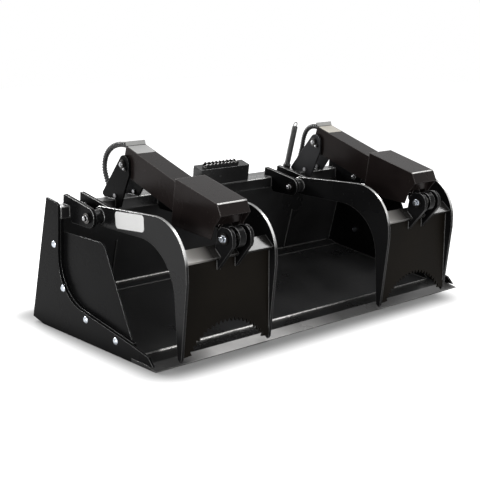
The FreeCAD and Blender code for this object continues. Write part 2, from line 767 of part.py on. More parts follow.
def tower(side):
    """Two raked plates that stand on the lip and carry the cylinder's base pin."""
    y, z = TOWER_PIN
    holes = [(y, z, PIN_R)] + [(a, b, TOWER_BOLT_R) for a, b in TOWER_BOLTS]
    keeper = (y + KEEPER[0], z + KEEPER[1], KEEPER_R)
    first, second = tower_spans(side)
    lapped, set_back = tower_corners()
    shifted = [(y, z, PIN_R)] + [(a + TOWER_SET_BACK, b, TOWER_BOLT_R) for a, b in TOWER_BOLTS]
    return Part.makeCompound([plate("x", first, TOWER_PLATE, lapped, holes + [keeper]),
                              plate("x", second, TOWER_PLATE, set_back, shifted)])


def tower_pin(side):
    """A headed pin with an ear that one small bolt holds to the tower, so it can't turn."""
    y, z = TOWER_PIN
    first, second = tower_spans(side)
    low, high = first, second + TOWER_PLATE
    shaft = rod_x(y, z, PIN_R, low - 10, high + PIN_TAIL)
    flag_y, flag_z = y + KEEPER[0], z + KEEPER[1]
    flag = [rod_x(y, z, PIN_R + 5, low - 4, low), rod_x(flag_y, flag_z, KEEPER_R * 2.4, low - 4, low)]
    keeper = rod_x(flag_y, flag_z, KEEPER_R, low - 4, low + TOWER_PLATE)
    bolt = hexagon_x(flag_y, flag_z, KEEPER_R * 1.9, 5, low - 4, -1)
    tail = rod_x(y, z, PIN_HEAD_R, high, high + PIN_TAIL)
    return fuse([shaft, keeper, bolt, tail] + flag)


def tower_bolts():
    """Bolts that tie the foot of each tower plate, with a nut on the far side."""
    shapes = []
    for side in SIDES:
        for x, back in zip(tower_spans(side), (0, TOWER_SET_BACK)):
            for y, z in TOWER_BOLTS:
                shank = rod_x(y + back, z, TOWER_BOLT_R, x, x + TOWER_PLATE)
                head = hexagon_x(y + back, z, 10, 7, x, -1)
                nut = hexagon_x(y + back, z, 10, 7, x + TOWER_PLATE, 1)
                shapes.append(fuse([shank, head, nut]))
    return Part.makeCompound(shapes)


def step_profile():
    """The step's front, its top that rises to a crest, and its leaning back."""
    crest = (STEP_CREST[0], LIP_TOP + STEP_CREST[1])
    foot = (crest[0] + STEP_CREST[1] * BACK_LEAN, LIP_TOP)
    return [(LIP_FRONT, LIP_TOP), (LIP_FRONT, LIP_TOP + STEP_RISE), crest, foot]


def step_box():
    """A folded step: its ends taper down to the lip."""
    half = STEP_WIDTH / 2
    outer = plate("x", STEP_MIDDLE - half, STEP_WIDTH, step_profile())
    front, top, crest, foot = step_profile()
    inner = [(front[0] + STEP_SHEET, front[1]), (top[0] + STEP_SHEET, top[1] - STEP_SHEET),
             (crest[0] - STEP_SHEET, crest[1] - STEP_SHEET * 1.6), (foot[0] - STEP_SHEET, foot[1])]
    room = half - STEP_SHEET
    body = outer.cut(plate("x", STEP_MIDDLE - room, 2 * room, inner))
    reach = STEP_CREST[1] + 10
    for sign in (-1, 1):
        edge = STEP_MIDDLE + sign * half
        lean = sign * STEP_TAPER / STEP_RISE
        wedge = [(edge - sign * STEP_TAPER, LIP_TOP), (edge, LIP_TOP + STEP_RISE),
                 (edge + lean * (reach - STEP_RISE), LIP_TOP + reach), (edge + sign * 30, LIP_TOP + reach),
                 (edge + sign * 30, LIP_TOP)]
        body = body.cut(plate("y", LIP_FRONT - 1, 120, wedge))
        lining = [(edge - sign * STEP_TAPER, LIP_TOP), (edge, LIP_TOP + STEP_RISE),
                  (edge - sign * STEP_SHEET, LIP_TOP + STEP_RISE),
                  (edge - sign * (STEP_TAPER + STEP_SHEET), LIP_TOP)]
        body = body.fuse(plate("y", LIP_FRONT, foot[0] - LIP_FRONT, lining).common(outer))
    return body.removeSplitter()


def saw_corners(length, rise, middle):
    """The outline of an upright strip with pointed teeth along its top."""
    pitch = length / TREAD_TEETH
    start = middle - length / 2
    corners = [(start, 0), (start, rise - TREAD_TOOTH)]
    for i in range(TREAD_TEETH):
        corners.append((start + pitch * (i + 0.5), rise))
        corners.append((start + pitch * (i + 1), rise - TREAD_TOOTH))
    return corners + [(start + length, 0)]


def step_tread():
    """A grip tread: a punched base between two toothed strips, laid on the sloping top."""
    _, top, crest, _ = step_profile()
    slope = math.atan2(crest[1] - top[1], crest[0] - top[0])
    x_from = TREAD_MIDDLE - TREAD_LENGTH / 2
    shapes = [block(x_from, x_from + TREAD_LENGTH, 0, TREAD_DEPTH, 0, TREAD_SHEET)]
    corners = saw_corners(TREAD_LENGTH, TREAD_RISE, TREAD_MIDDLE)
    for y in (0, TREAD_DEPTH - TREAD_SHEET):
        shapes.append(plate("y", y, TREAD_SHEET, corners))
    body = fuse(shapes)
    pitch = TREAD_LENGTH / 5
    for i in range(5):
        centre = V(x_from + pitch * (i + 0.5), TREAD_DEPTH / 2, 0)
        body = body.cut(Part.makeCylinder(TREAD_DEPTH * 0.27, TREAD_SHEET, centre))
    body.rotate(V(0, 0, 0), V(1, 0, 0), math.degrees(slope))
    along = TREAD_FROM_FRONT
    body.translate(V(0, top[0] + along * math.cos(slope), top[1] + along * math.sin(slope)))
    return body


def attach_plate():
    """The plate on the back sheet that the loader's coupler bears on."""
    half = ATTACH_WIDTH / 2
    skin = across_sheet(SHEET)
    path = [(back_y(ATTACH_FOOT_Z) + skin, ATTACH_FOOT_Z), (back_y(ATTACH_TOP_Z) + skin, ATTACH_TOP_Z)]
    body = plate("x", -half, ATTACH_WIDTH, sheet_corners(path, ATTACH_PLATE))
    middle_z = (ATTACH_FOOT_Z + ATTACH_TOP_Z) / 2 + 20
    for sign in (-1, 1):
        centre = sign * half / 2
        wide, high = ATTACH_WINDOW
        corners = [(centre - wide / 2, middle_z - high / 2, 30), (centre + wide / 2, middle_z - high / 2, 30),
                   (centre + wide / 2, middle_z + high / 2, 30), (centre - wide / 2, middle_z + high / 2, 30)]
        body = body.cut(plate("y", back_y(middle_z) - 80, 200, corners))
    return body


def attach_hook():
    """The bent lip over the coupler's top edge."""
    half = ATTACH_WIDTH / 2
    root = back_y(LIP_TOP) + across_sheet(SHEET)
    reach = root + HOOK_REACH
    path = [(root, LIP_TOP), (reach, LIP_TOP), (reach + HOOK_SPREAD, LIP_TOP - HOOK_DROP)]
    hook = plate("x", -half, ATTACH_WIDTH, sheet_corners(path, HOOK_THICK))
    webs = []
    for x in (-half, -HOOK_THICK / 2, half - HOOK_THICK):
        base = root + (HOOK_THICK * BACK_LEAN)
        webs.append(plate("x", x, HOOK_THICK,
                          [(base, LIP_TOP - HOOK_THICK),
                           (back_y(ATTACH_TOP_Z) + across_sheet(SHEET), ATTACH_TOP_Z),
                           (back_y(ATTACH_TOP_Z) + across_sheet(SHEET) + 24, ATTACH_TOP_Z + 8),
                           (base + 40, LIP_TOP - HOOK_THICK)]))
    return fuse([hook] + webs).cut(bucket_shell())


def attach_foot():
    """The level flange under the coupler, with two slots for its latch wedges."""
    half = ATTACH_WIDTH / 2
    inner = back_y(ATTACH_FOOT_Z) + across_sheet(SHEET) + across_sheet(ATTACH_PLATE)
    low = ATTACH_FOOT_Z
    rise = FOOT_THICK * BACK_LEAN
    corners = [(inner, low), (inner + FOOT_REACH, low), (inner + FOOT_REACH, low + FOOT_THICK),
               (inner - rise, low + FOOT_THICK)]
    body = plate("x", -half, ATTACH_WIDTH, corners)
    y = inner + LATCH_TO_EDGE
    for sign in (-1, 1):
        reach = LATCH_SLOT_LENGTH / 2
        slot = [(sign * LATCH_SPACING / 2 - reach, y - LATCH_SLOT_R, LATCH_SLOT_R * 0.999),
                (sign * LATCH_SPACING / 2 + reach, y - LATCH_SLOT_R, LATCH_SLOT_R * 0.999),
                (sign * LATCH_SPACING / 2 + reach, y + LATCH_SLOT_R, LATCH_SLOT_R * 0.999),
                (sign * LATCH_SPACING / 2 - reach, y + LATCH_SLOT_R, LATCH_SLOT_R * 0.999)]
        body = body.cut(plate("z", low, FOOT_THICK, slot))
    return body


def floor_runners():
    """Upright bars that carry the rising floor on the ground."""
    skin = across_sheet(SHEET)
    outer = sheet_corners(shell_path(), SHEET)[4:]
    under = outer[::-1]
    front_z = under[0][1] + (RUNNER_FRONT - under[0][0]) * (under[1][1] - under[0][1]) / (
        under[1][0] - under[0][0])
    corners = [(RUNNER_FRONT, 0), (HEEL_FRONT_Y, 0), (back_y(HEEL[1]) + skin, HEEL[1]),
               (back_y(under[2][1]) + skin, under[2][1]), under[2], under[1], (RUNNER_FRONT, front_z)]
    return Part.makeCompound([plate("x", x - RUNNER_THICK / 2, RUNNER_THICK, corners)
                              for x in RUNNERS_X])


def guide_direction():
    return V(0, -BACK_LEAN, 1).normalize()


def hose_guide():
    """A tight spring with an eye at its top; the hoses hang from it. Its coil is one sleeve."""
    foot = V(GUIDE_X, *GUIDE_FOOT)
    along = guide_direction()
    coil = Part.makeCylinder(GUIDE_R, GUIDE_LENGTH, foot, along)
    coil = coil.cut(Part.makeCylinder(GUIDE_R - 5, GUIDE_LENGTH, foot, along))
    ring = Part.makeTorus(GUIDE_RING_R, GUIDE_WIRE_R, foot + along * (GUIDE_LENGTH + GUIDE_RING_R),
                          V(0, 1, 0))
    return fuse([coil, ring])


def hose_guide_socket():
    foot = V(GUIDE_X, *GUIDE_FOOT)
    along = guide_direction()
    cup = Part.makeCylinder(GUIDE_SOCKET_R, GUIDE_SOCKET + 20, foot - along * 20, along)
    cup = cup.cut(Part.makeCylinder(GUIDE_R, GUIDE_SOCKET, foot, along))
    above = block(GUIDE_X - 40, GUIDE_X + 40, 600, 900, LIP_TOP, LIP_TOP + 100)
    return cup.common(above)


def hose_path(side):
    """Straight runs joined by tangent arcs; prints the arc radii."""
    x = SIDES[side] * GRAPPLE_OFFSET
    points = [V(x, y, z) for y, z in HOSE_ROUTES[side]]
    edges, start, radii = [], points[0], []
    for before, here, after in zip(points, points[1:], points[2:]):
        back, ahead = (before - here), (after - here)
        reach = ARC_SHARE * min(back.Length, ahead.Length)
        half = back.getAngle(ahead) / 2
        radius = reach * math.tan(half)
        radii.append(round(radius))
        back.normalize()
        ahead.normalize()
        bisector = (back + ahead).normalize()
        middle = here + bisector * (radius / math.sin(half) - radius)
        edges.append(Part.LineSegment(start, here + back * reach).toShape())
        edges.append(Part.Arc(here + back * reach, middle, here + ahead * reach).toShape())
        start = here + ahead * reach
    edges.append(Part.LineSegment(start, points[-1]).toShape())
    return Part.Wire(edges), radii


def hose(side):
    """The visible hose loop behind a tower."""
    path, radii = hose_path(side)
    ahead = (path.Edges[0].valueAt(path.Edges[0].LastParameter) - path.Vertexes[0].Point).normalize()
    circle = Part.makeCircle(HOSE_R, path.Vertexes[0].Point, ahead)
    tube = path.makePipeShell([Part.Wire([circle])], True, False)
    print(side, "hose length", round(path.Length, 1), "volume over section times length",
          round(tube.Volume / (math.pi * HOSE_R ** 2 * path.Length), 4), "radii", radii)
    return tube


def hose_bulkheads():
    """Fittings on the hook that the hose loops end in, square to the hose's last run."""
    shapes = []
    for side, sign in SIDES.items():
        x = sign * GRAPPLE_OFFSET
        last, end = [V(x, y, z) for y, z in HOSE_ROUTES[side][-2:]]
        down = (end - last).normalize()
        nut = Part.makeCylinder(BULKHEAD_R, BULKHEAD_LENGTH, end, down)
        foot = Part.makeCylinder(BULKHEAD_R * 0.8, 60, end, down)
        below = block(x - 50, x + 50, 600, 900, LIP_TOP, end.z + 60)
        shapes.append(fuse([nut, foot]).common(below))
    return Part.makeCompound(shapes)


def build_nodes():
    nodes = {
        "bucket_shell": bucket_shell(),
        "cutting_edge": cutting_edge(),
        "top_lip": top_lip(),
        "side_bolts": side_bolts(),
        "hinge_ears": hinge_ears(),
        "hinge_pins": hinge_pins(),
        "tower_bolts": tower_bolts(),
        "step_box": step_box(),
        "step_tread": step_tread(),
        "attach_plate": attach_plate(),
        "attach_hook": attach_hook(),
        "attach_foot": attach_foot(),
        "floor_runners": floor_runners(),
        "hose_guide": hose_guide(),
        "hose_guide_socket": hose_guide_socket(),
        "hose_bulkheads": hose_bulkheads(),
    }
    for side in SIDES:
        faces = arm_faces()[side]
        pieces = {
            "side_plate": side_plate(side),
            "side_filler": side_filler(side),
            "side_panel": side_panel(side),
            "tower": tower(side),
            "tower_pin": tower_pin(side),
            "hose": hose(side),
            "grapple_arm_a": arm(faces[0]),
            "grapple_arm_b": arm(faces[1]),
            "hinge_hubs": hinge_hubs(side),
            "cross_bar": cross_bar(side),
            "grapple_plate": grapple_plate(side),
            "clevis_ears": clevis_ears(side),
            "clevis_pin": clevis_pin(side),
            "clevis_spacers": clevis_spacers(side),
            "cylinder_barrel": cylinder_barrel(side),
            "cylinder_gland": cylinder_gland(side),
            "port_elbow": port_elbow(side),
            "upper_cover": upper_cover(side),
            "piston": piston(side),
            "piston_rod": piston_rod(side),
            "rod_eye": rod_eye(side),
            "lower_cover": lower_cover(side),
        }
        nodes.update({side + "_" + name: shape for name, shape in pieces.items()})
    return nodes


def middle_of_footprint():
    """The y of the origin: halfway from the clevis ears' front to the foot flange's rear."""
    front = CLEVIS_PIN[0] - CLEVIS_R
    rear = back_y(ATTACH_FOOT_Z) + across_sheet(SHEET) + across_sheet(ATTACH_PLATE) + FOOT_REACH
    return (front + rear) / 2


def main():
    os.makedirs("parts", exist_ok=True)
    shift = V(0, -middle_of_footprint(), 0)
    print("y shift", round(shift.y, 3), "cylinder", round(pin_to_pin(), 2), round(cylinder_angle(), 3))
    for name, shape in build_nodes().items():
        shape.translate(shift)
        shape.exportStep("parts/" + name + ".step")


main()
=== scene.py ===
import json
import math
import random

import bpy
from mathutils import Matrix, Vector


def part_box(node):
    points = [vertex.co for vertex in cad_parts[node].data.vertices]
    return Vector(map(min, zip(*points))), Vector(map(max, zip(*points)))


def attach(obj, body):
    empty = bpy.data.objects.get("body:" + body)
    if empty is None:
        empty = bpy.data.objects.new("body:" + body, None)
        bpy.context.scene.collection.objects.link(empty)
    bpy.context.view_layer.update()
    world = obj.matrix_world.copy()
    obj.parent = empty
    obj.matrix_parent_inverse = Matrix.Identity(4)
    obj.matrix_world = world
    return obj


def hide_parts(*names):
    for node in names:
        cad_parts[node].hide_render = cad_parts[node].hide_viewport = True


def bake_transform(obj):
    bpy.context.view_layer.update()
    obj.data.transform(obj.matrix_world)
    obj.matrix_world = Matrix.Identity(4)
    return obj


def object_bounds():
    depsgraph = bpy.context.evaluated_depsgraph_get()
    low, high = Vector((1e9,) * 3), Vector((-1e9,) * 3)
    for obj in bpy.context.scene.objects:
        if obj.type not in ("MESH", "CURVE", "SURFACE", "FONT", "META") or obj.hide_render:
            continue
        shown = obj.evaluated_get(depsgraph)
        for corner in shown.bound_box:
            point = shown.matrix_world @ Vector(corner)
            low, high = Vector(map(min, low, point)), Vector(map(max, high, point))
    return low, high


# Grapple bucket in glossy black paint on a white studio floor.
# Places are millimetres on the bench: x across from the middle, y back from the tip of the
# blade, z up. mm() turns them into the scene's metres. Radii and strips are in metres.

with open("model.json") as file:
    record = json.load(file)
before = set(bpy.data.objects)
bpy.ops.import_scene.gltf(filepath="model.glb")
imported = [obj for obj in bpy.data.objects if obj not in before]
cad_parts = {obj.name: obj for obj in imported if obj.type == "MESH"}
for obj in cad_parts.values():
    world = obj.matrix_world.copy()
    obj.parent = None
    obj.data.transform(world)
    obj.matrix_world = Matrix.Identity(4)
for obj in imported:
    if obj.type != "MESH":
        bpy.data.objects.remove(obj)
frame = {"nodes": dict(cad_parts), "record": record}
cad_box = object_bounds()
nodes = frame["nodes"]
random.seed(7)

BLADE_TIP_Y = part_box("cutting_edge")[0][1]
SIDES = {"left": -1, "right": 1}

# The bowl: x of its seams, and y and z along its section
PANEL_X = 883.5
LIP_SEAM_X = 889.5
RIB_X = 545.0
RIB_SPAN = (118.0, 328.0)
PANEL_TOP = 432.0
LIP_FRONT, LIP_TOP, LIP_FOOT = 650.0, 538.0, 488.0
FLOOR_START = (157, 17)
PANEL_START = (170, 19)
FLOOR_FOLD = (778, 94)
HEEL = (838, 111)
BACK_FOOT = (840.0, 109.0)
BACK_LEAN = 0.2769

# The grapples: x from the middle of each, and y and z of the pivots
GRAPPLE_X = 569.5
ARM_FACES = (-232.5, 219.8)
ARM_THICK = 12.7
EARS_FROM_ARM = (-60, 22)
EAR_THICK = 16
EAR_REAR = 697
HINGE = (515.0, 506.0)
TOWER_PIN = (589.0, 695.0)
CLEVIS_PIN = (-62.0, 482.0)


def mm(x, y, z):
    """A bench point in millimetres as a scene point in metres."""
    return Vector((x / 1000, BLADE_TIP_Y + y / 1000, z / 1000))


def cylinder_point(side, x, along, up):
    """A point by a cylinder: x from its middle, along from the tower pin, up square to it."""
    y, z = CLEVIS_PIN[0] - TOWER_PIN[0], CLEVIS_PIN[1] - TOWER_PIN[1]
    length = math.hypot(y, z)
    y, z = y / length, z / length
    return mm(SIDES[side] * GRAPPLE_X + x, TOWER_PIN[0] + along * y + up * z,
              TOWER_PIN[1] + along * z - up * y)


# Materials

BUMP_DEPTH = 0.0004


def new_material(name):
    """A fresh material with its nodes and links."""
    material = bpy.data.materials.new(name)
    material.use_nodes = True
    return material, material.node_tree.nodes, material.node_tree.links


def noise(tree, scale, detail=2.0):
    """A cloudy pattern laid in the scene's space, so it needs no unwrapping."""
    found, links = tree
    place = found.new("ShaderNodeNewGeometry")
    node = found.new("ShaderNodeTexNoise")
    node.inputs["Scale"].default_value = scale
    node.inputs["Detail"].default_value = detail
    links.new(place.outputs["Position"], node.inputs["Vector"])
    return node.outputs["Fac"]


def remap(tree, source, low, high, to_low, to_high):
    """Maps source from low..high to to_low..to_high, and clamps it there."""
    found, links = tree
    node = found.new("ShaderNodeMapRange")
    limits = {"From Min": low, "From Max": high, "To Min": to_low, "To Max": to_high}
    for socket, value in limits.items():
        node.inputs[socket].default_value = value
    links.new(source, node.inputs["Value"])
    return node.outputs["Result"]


def calculate(tree, operation, first, second):
    """A math node on two values, each a number or a socket."""
    found, links = tree
    node = found.new("ShaderNodeMath")
    node.operation = operation
    for socket, value in zip(node.inputs, (first, second)):
        if isinstance(value, (int, float)):
            socket.default_value = value
        else:
            links.new(value, socket)
    return node.outputs[0]


def mix_colour(tree, amount, first, second):
    """first and second mixed by amount, each a colour or a socket."""
    found, links = tree
    node = found.new("ShaderNodeMix")
    node.data_type = "RGBA"
    for name, value in (("Factor", amount), ("A", first), ("B", second)):
        socket = [s for s in node.inputs if s.name == name and s.enabled][0]
        if isinstance(value, tuple):
            socket.default_value = (*value, 1)
        else:
            links.new(value, socket)
    return [s for s in node.outputs if s.enabled][0]


def edge_mask(tree, radius):
    """1 where the surface turns within radius, 0 on flat faces."""
    found, links = tree
    rounded = found.new("ShaderNodeBevel")
    rounded.samples = 6
    rounded.inputs["Radius"].default_value = radius
    flat = found.new("ShaderNodeNewGeometry")
    dot = found.new("ShaderNodeVectorMath")
    dot.operation = "DOT_PRODUCT"
    links.new(rounded.outputs["Normal"], dot.inputs[0])
    links.new(flat.outputs["Normal"], dot.inputs[1])
    return remap(tree, dot.outputs["Value"], 0.985, 0.86, 0.0, 1.0), rounded.outputs["Normal"]


def paint(name, colour, roughness, gloss_level, wear, edge=0.0022, bare_and_highlight=(0.42, 0.42, 0.41),
          tint=(1.0, 1.0, 1.0)):
    """Glossy sprayed paint: slight orange peel, drifting gloss, and edges rubbed to bare steel and
    painted as highlights, most where they face up.
    """
    material, found, links = new_material(name)
    tree = (found, links)
    shader = found["Principled BSDF"]
    shader.inputs["Specular IOR Level"].default_value = gloss_level
    shader.inputs["Specular Tint"].default_value = (*tint, 1)
    cloud = noise(tree, 2.6, 3.0)
    fine = noise(tree, 46.0, 5.0)
    peel = noise(tree, 330.0, 2.0)
    mask, rounded = edge_mask(tree, edge)
    facing = found.new("ShaderNodeSeparateXYZ")
    links.new(rounded, facing.inputs[0])
    # Edges that face up take more of the bright edge colour: a painted highlight.
    up_facing_highlight = remap(tree, facing.outputs["Z"], -0.05, 0.5, 0.2, 1.0)
    uneven = remap(tree, fine, 0.3, 0.6, wear * 0.88, wear)
    rubbed_and_highlight = calculate(tree, "MULTIPLY", calculate(tree, "MULTIPLY", mask, uneven), up_facing_highlight)
    light = tuple(min(1.0, c * 1.7 + 0.002) for c in colour)
    coat = mix_colour(tree, remap(tree, cloud, 0.35, 0.7, 0.0, 1.0), colour, light)
    links.new(mix_colour(tree, rubbed_and_highlight, coat, bare_and_highlight), shader.inputs["Base Color"])
    gloss = remap(tree, cloud, 0.3, 0.75, roughness * 0.8, roughness * 1.35)
    specks = remap(tree, fine, 0.55, 0.75, 0.0, 0.05)
    links.new(calculate(tree, "ADD", gloss, specks), shader.inputs["Roughness"])
    links.new(calculate(tree, "MULTIPLY", rubbed_and_highlight, 0.8), shader.inputs["Metallic"])
    bump = found.new("ShaderNodeBump")
    bump.inputs["Strength"].default_value = 0.03
    bump.inputs["Distance"].default_value = BUMP_DEPTH
    links.new(peel, bump.inputs["Height"])
    links.new(rounded, bump.inputs["Normal"])
    links.new(bump.outputs["Normal"], shader.inputs["Normal"])
    return material


def metal(name, colour, roughness, grain=90.0, stain=0.35):
    """Plated or ground steel with fine scratches and dull patches."""
    material, found, links = new_material(name)
    tree = (found, links)
    shader = found["Principled BSDF"]
    patch = noise(tree, grain, 4.0)
    scratch = noise(tree, grain * 9, 2.0)
    dull = tuple(c * (1 - stain) for c in colour)
    amount = remap(tree, patch, 0.4, 0.68, 0.0, 1.0)
    links.new(mix_colour(tree, amount, colour, dull), shader.inputs["Base Color"])
    links.new(remap(tree, scratch, 0.3, 0.7, roughness * 0.7, roughness * 1.4),
              shader.inputs["Roughness"])
    shader.inputs["Metallic"].default_value = 1.0
    bump = found.new("ShaderNodeBump")
    bump.inputs["Strength"].default_value = 0.12
    bump.inputs["Distance"].default_value = BUMP_DEPTH
    links.new(scratch, bump.inputs["Height"])
    links.new(bump.outputs["Normal"], shader.inputs["Normal"])
    return material


def plain(name, colour, roughness, grain=220.0):
    """Rubber or plastic: matt, with a fine uneven skin."""
    material, found, links = new_material(name)
    tree = (found, links)
    shader = found["Principled BSDF"]
    skin = noise(tree, grain, 4.0)
    dark = tuple(c * 0.72 for c in colour)
    links.new(mix_colour(tree, remap(tree, skin, 0.35, 0.65, 0.0, 1.0), dark, colour),
              shader.inputs["Base Color"])
    links.new(remap(tree, skin, 0.3, 0.7, roughness * 0.85, roughness * 1.1),
              shader.inputs["Roughness"])
    bump = found.new("ShaderNodeBump")
    bump.inputs["Strength"].default_value = 0.3
    bump.inputs["Distance"].default_value = BUMP_DEPTH
    links.new(skin, bump.inputs["Height"])
    links.new(bump.outputs["Normal"], shader.inputs["Normal"])
    return material


def card(name, colour):
    """A smooth blank sticker."""
    material, found, links = new_material(name)
    tree = (found, links)
    shader = found["Principled BSDF"]
    cloud = noise(tree, 9.0)
    aged = tuple(c * 0.95 for c in colour)
    amount = remap(tree, cloud, 0.35, 0.65, 0.0, 1.0)
    links.new(mix_colour(tree, amount, aged, colour), shader.inputs["Base Color"])
    shader.inputs["Roughness"].default_value = 0.35
    return material


def reopen(material):
    """The tree and the shader of a finished material, to build on."""
    tree = (material.node_tree.nodes, material.node_tree.links)
    return tree, tree[0]["Principled BSDF"]


def surface_axes(tree, output):
    """The x, y and z of the surface's Position or Normal."""
    found, links = tree
    surface = found.new("ShaderNodeNewGeometry")
    axes = found.new("ShaderNodeSeparateXYZ")
    links.new(surface.outputs[output], axes.inputs[0])
    return axes.outputs


def lay_over(tree, shader, amount, colour):
    """Mixes a colour over what already feeds the shader's base colour."""
    coat = shader.inputs["Base Color"].links[0].from_socket
    tree[1].new(mix_colour(tree, amount, coat, colour), shader.inputs["Base Color"])


def work_in(tree, shader, name, operation, value):
    """Combines a value with what already feeds one of the shader's inputs."""
    before = shader.inputs[name].links[0].from_socket
    tree[1].new(calculate(tree, operation, before, value), shader.inputs[name])


def grind_bevel_with_painted_reflection(material, bare_and_highlight):
    """Wears the paint off the sloping front of the blade to bright steel, most of all left of the
    middle; its fading toward both ends is painted shade on that bright reflection.
    """
    tree, shader = reopen(material)
    level = surface_axes(tree, "Normal")["Z"]
    x = surface_axes(tree, "Position")["X"]
    slope = calculate(tree, "MULTIPLY", remap(tree, level, 0.99, 0.985, 0.0, 1.0),
                      remap(tree, level, 0.8, 0.9, 0.0, 1.0))
    # Painted shade: the bright bevel fades toward the left tip and toward the right, where the arms and
    # the right grapple would block its reflection.
    ends = calculate(tree, "MULTIPLY", remap(tree, x, -0.78, -0.6, 0.03, 1.0),
                     remap(tree, x, -0.28, 0.12, 1.0, 0.1))
    scuff = noise(tree, 14.0, 4.0)
    worn_and_reflection = calculate(tree, "MULTIPLY", slope, ends)
    worn_and_reflection = calculate(tree, "MULTIPLY", worn_and_reflection, remap(tree, scuff, 0.35, 0.6, 0.88, 1.0))
    lay_over(tree, shader, worn_and_reflection, bare_and_highlight)
    work_in(tree, shader, "Metallic", "MAXIMUM", calculate(tree, "MULTIPLY", worn_and_reflection, 0.55))
    work_in(tree, shader, "Roughness", "MULTIPLY", remap(tree, worn_and_reflection, 0.0, 1.0, 1.0, 1.2))
    return material


def fade_right(material, dark, left_end=-2.0):
    """Darkens a bright weld toward the right, and left of left_end."""
    tree, shader = reopen(material)
    x = surface_axes(tree, "Position")["X"]
    amount = calculate(tree, "MAXIMUM", remap(tree, x, -0.22, 0.3, 0.0, 0.9),
                       remap(tree, x, left_end, left_end + 0.02, 0.85, 0.0))
    lay_over(tree, shader, amount, dark)
    return material


def paint_rim_highlight(material, bare_and_highlight):
    """Paints a highlight on the narrow rim of a curved arm where it faces up and forward."""
    tree, shader = reopen(material)
    normal = surface_axes(tree, "Normal")
    rim = remap(tree, calculate(tree, "ABSOLUTE", normal["X"], 0.0), 0.4, 0.3, 0.0, 1.0)
    rise = remap(tree, normal["Z"], 0.12, 0.45, 0.0, 1.0)
    crown = remap(tree, normal["Z"], 0.8, 0.97, 1.0, 0.35)
    rim_highlight = calculate(tree, "MULTIPLY", calculate(tree, "MULTIPLY", rim, rise), crown)
    lay_over(tree, shader, rim_highlight, bare_and_highlight)
    work_in(tree, shader, "Metallic", "MAXIMUM", rim_highlight)
    return material


def paint_bar_sheen(material, painted_sheen):
    """Paints a light sheen on each cross bar toward its left end: a painted reflection."""
    tree, shader = reopen(material)
    x = surface_axes(tree, "Position")["X"]
    ends = []
    for sign, most in ((-1, 1.0), (1, 0.6)):
        start = (sign * GRAPPLE_X - 220) / 1000
        near = remap(tree, x, start, start + 0.13, most, 0.0)
        past = remap(tree, x, start - 0.03, start - 0.01, 0.0, 1.0)
        ends.append(calculate(tree, "MULTIPLY", near, past))
    lay_over(tree, shader, calculate(tree, "ADD", *ends), painted_sheen)
    return material


# The rubbed edges of each paint take the light edge colour given to it: partly bare steel, partly
# painted highlight, strongest on edges that face up; the near-white edge colours of the arms, hinge
# ears and lip are mostly painted highlight.
BLACK = paint("black_gloss", (0.014, 0.014, 0.0143), 0.27, 0.32, wear=0.8, edge=0.0032,
              bare_and_highlight=(0.4, 0.4, 0.4))
SIDE = paint("side_gloss", (0.0034, 0.0034, 0.0036), 0.25, 0.03, wear=0.75, edge=0.003,
             bare_and_highlight=(0.3, 0.3, 0.3))
SHELL = paint("bowl_gloss", (0.021, 0.021, 0.0215), 0.3, 0.3, wear=0.3)
HOOD = paint("hood_gloss", (0.0105, 0.0078, 0.0074), 0.24, 0.1, wear=0.8, edge=0.0042,
             bare_and_highlight=(0.24, 0.23, 0.225), tint=(1.0, 0.93, 0.92))
GRIP = paint("grip_black", (0.0068, 0.0056, 0.0042), 0.4, 0.03, wear=0.3)
ARM = paint_rim_highlight(paint("arm_gloss", (0.0065, 0.0065, 0.0068), 0.27, 0.12, wear=0.95, edge=0.004,
                      bare_and_highlight=(0.7, 0.7, 0.69)), (0.78, 0.78, 0.77))
HINGE_EAR = paint("hinge_ear_gloss", (0.0046, 0.0046, 0.0049), 0.25, 0.03, wear=0.95, edge=0.005,
                  bare_and_highlight=(0.7, 0.7, 0.69))
# A lighter copy of the black paint for the right tower: painted light, as the left tower keeps the dark
# side paint.
TOWER_LIT = paint("right_tower_lit", (0.026, 0.026, 0.028), 0.34, 0.1, wear=0.8, edge=0.0032,
              bare_and_highlight=(0.4, 0.4, 0.4))
TREAD = paint("tread_worn", (0.014, 0.014, 0.0143), 0.3, 0.32, wear=0.85, edge=0.005,
              bare_and_highlight=(0.5, 0.49, 0.48))
LIP = paint("lip_gloss", (0.014, 0.014, 0.0143), 0.27, 0.32, wear=0.98, edge=0.009,
            bare_and_highlight=(0.85, 0.85, 0.84))
EAR = paint("ear_gloss", (0.0055, 0.0055, 0.0058), 0.2, 0.06, wear=0.95, edge=0.003,
            bare_and_highlight=(0.6, 0.6, 0.6))
BAR = paint_bar_sheen(paint("bar_gloss", (0.02, 0.019, 0.018), 0.2, 0.85, wear=0.8, edge=0.003,
                       bare_and_highlight=(0.45, 0.45, 0.44)), (0.8, 0.77, 0.73))
BLADE = grind_bevel_with_painted_reflection(paint("blade_black", (0.012, 0.012, 0.012), 0.27, 0.27, wear=0.8),
                    (0.78, 0.77, 0.76))
BEAD = paint("weld_bead", (0.05, 0.05, 0.049), 0.24, 0.5, wear=0.3, bare_and_highlight=(0.3, 0.3, 0.29))
HEEL_BEAD = fade_right(metal("heel_bead", (0.62, 0.61, 0.59), 0.3, grain=60.0, stain=0.45),
                       (0.05, 0.05, 0.05))
FRONT_BEAD = fade_right(metal("front_bead", (0.8, 0.79, 0.77), 0.3, grain=60.0, stain=0.4),
                        (0.04, 0.04, 0.04), left_end=-0.79)
HUB_BEAD = metal("hub_bead", (0.2, 0.2, 0.2), 0.28, stain=0.6)
BOLT = metal("dull_bolt", (0.42, 0.42, 0.43), 0.3)
